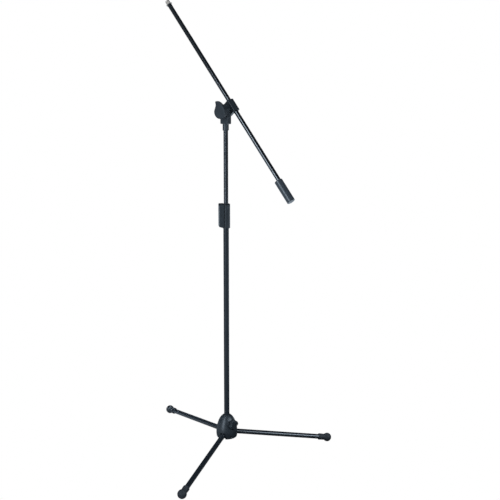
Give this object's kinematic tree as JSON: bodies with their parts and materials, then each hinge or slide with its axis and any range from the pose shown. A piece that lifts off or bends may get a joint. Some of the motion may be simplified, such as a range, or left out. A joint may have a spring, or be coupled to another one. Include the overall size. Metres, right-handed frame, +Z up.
{
  "type": "boom microphone stand",
  "caption": "Tripod microphone stand with an egg-shaped hub, folding legs, two-stage mast, squeeze height clutch and a tilting, sliding boom with an eccentric counterweight.",
  "frame": {"origin": "floor point under the mast axis", "axes": "+Z up along the mast, +X along leg a; the boom leans toward azimuth 130 degrees"},
  "size_m": [0.6169, 0.7082, 1.6442],
  "materials": {
    "black_plastic": "fine-textured moulded black nylon",
    "knob_plastic": "matt moulded black plastic",
    "liner_plastic": "smooth black plastic",
    "black_tube": "semi-gloss black powder coat on steel tube",
    "cast_black": "satin black paint on die casting",
    "black_steel": "blackened steel",
    "weight_iron": "satin black coating",
    "nickel": "bright nickel plate",
    "brass": "turned brass",
    "foot_rubber": "matt black rubber"
  },
  "bodies": {
    "base": {"hub_body": "black_plastic", "hub_liner": "liner_plastic", "hub_insert": "brass", "leg_pivot_pins": "black_steel"},
    "hub_knob": {"hub_knob": "black_plastic", "hub_knob_screw": "black_steel"},
    "leg_a": {"leg_tube_a": "black_tube", "leg_fitting_a": "black_plastic", "leg_rivet_a": "black_steel", "foot_a": "foot_rubber"},
    "leg_b": {"leg_tube_b": "black_tube", "leg_fitting_b": "black_plastic", "leg_rivet_b": "black_steel", "foot_b": "foot_rubber"},
    "leg_c": {"leg_tube_c": "black_tube", "leg_fitting_c": "black_plastic", "leg_rivet_c": "black_steel", "foot_c": "foot_rubber"},
    "mast": {"lower_tube": "black_tube", "lower_tube_plug": "liner_plastic", "clutch_body": "black_plastic", "clutch_cap": "liner_plastic", "clutch_lever_pin": "black_steel"},
    "lever": {"clutch_lever": "black_plastic", "lever_pad": "foot_rubber"},
    "guide": {"guide_bush": "liner_plastic"},
    "upper": {"upper_tube": "black_tube", "upper_tube_guide": "liner_plastic", "tilter_head": "cast_black", "friction_washer": "liner_plastic", "knob_washer": "liner_plastic"},
    "clamp": {"boom_holder": "cast_black", "boom_jaw": "cast_black", "tilter_bolt": "black_steel"},
    "sleeve": {"boom_liner": "liner_plastic"},
    "boom": {"boom_tube": "black_tube", "boom_tip": "nickel", "counterweight": "weight_iron", "weight_screw": "black_steel", "boom_end_cap": "liner_plastic"},
    "tilt_knob": {"tilter_knob": "knob_plastic", "knob_insert": "brass"}
  },
  "joints": [
    {"name": "leg_fold_a", "type": "hinge", "parent": "base", "child": "leg_a", "pos_m": [0.028, 0, 0.06], "axis": [0, 1, 0], "range_deg": [0, 82]},
    {"name": "leg_fold_b", "type": "hinge", "parent": "base", "child": "leg_b", "pos_m": [-0.014, 0.02425, 0.06], "axis": [-0.866, -0.5, 0], "range_deg": [0, 82]},
    {"name": "leg_fold_c", "type": "hinge", "parent": "base", "child": "leg_c", "pos_m": [-0.014, -0.02425, 0.06], "axis": [0.866, -0.5, 0], "range_deg": [0, 82]},
    {"name": "hub_knob_turn", "type": "hinge", "parent": "base", "child": "hub_knob", "pos_m": [0.019, -0.03291, 0.11], "axis": [0.5, -0.866, 0], "range_deg": [-180, 180]},
    {"name": "mast_slide", "type": "slide", "parent": "base", "child": "mast", "axis": [0, 0, 1], "range_m": [-0.036, 0]},
    {"name": "lever_squeeze", "type": "hinge", "parent": "mast", "child": "lever", "pos_m": [-0.018, 0, 0.926], "axis": [0, -1, 0], "range_deg": [0, 3.4], "stiffness_Nm_per_rad": 6, "springref_deg": -3.44},
    {"name": "mast_swivel", "type": "hinge", "parent": "mast", "child": "guide", "pos_m": [0, 0, 0.93], "axis": [0, 0, 1], "continuous": true},
    {"name": "height_slide", "type": "slide", "parent": "guide", "child": "upper", "axis": [0, 0, 1], "range_m": [-0.245, 0.35]},
    {"name": "boom_tilt", "type": "hinge", "parent": "upper", "child": "clamp", "pos_m": [0, 0, 1.274], "axis": [0.766, 0.6428, 0], "range_deg": [-108.2, 16.8]},
    {"name": "boom_roll", "type": "hinge", "parent": "clamp", "child": "sleeve", "pos_m": [0.02618, 0.00941, 1.2826], "axis": [-0.4284, 0.5106, 0.7455], "continuous": true},
    {"name": "boom_slide", "type": "slide", "parent": "sleeve", "child": "boom", "axis": [-0.4284, 0.5106, 0.7455], "range_m": [-0.41, 0.21]},
    {"name": "tilt_knob_turn", "type": "hinge", "parent": "clamp", "child": "tilt_knob", "pos_m": [-0.01532, -0.01286, 1.274], "axis": [0.766, 0.6428, 0], "range_deg": [-180, 180]}
  ]
}
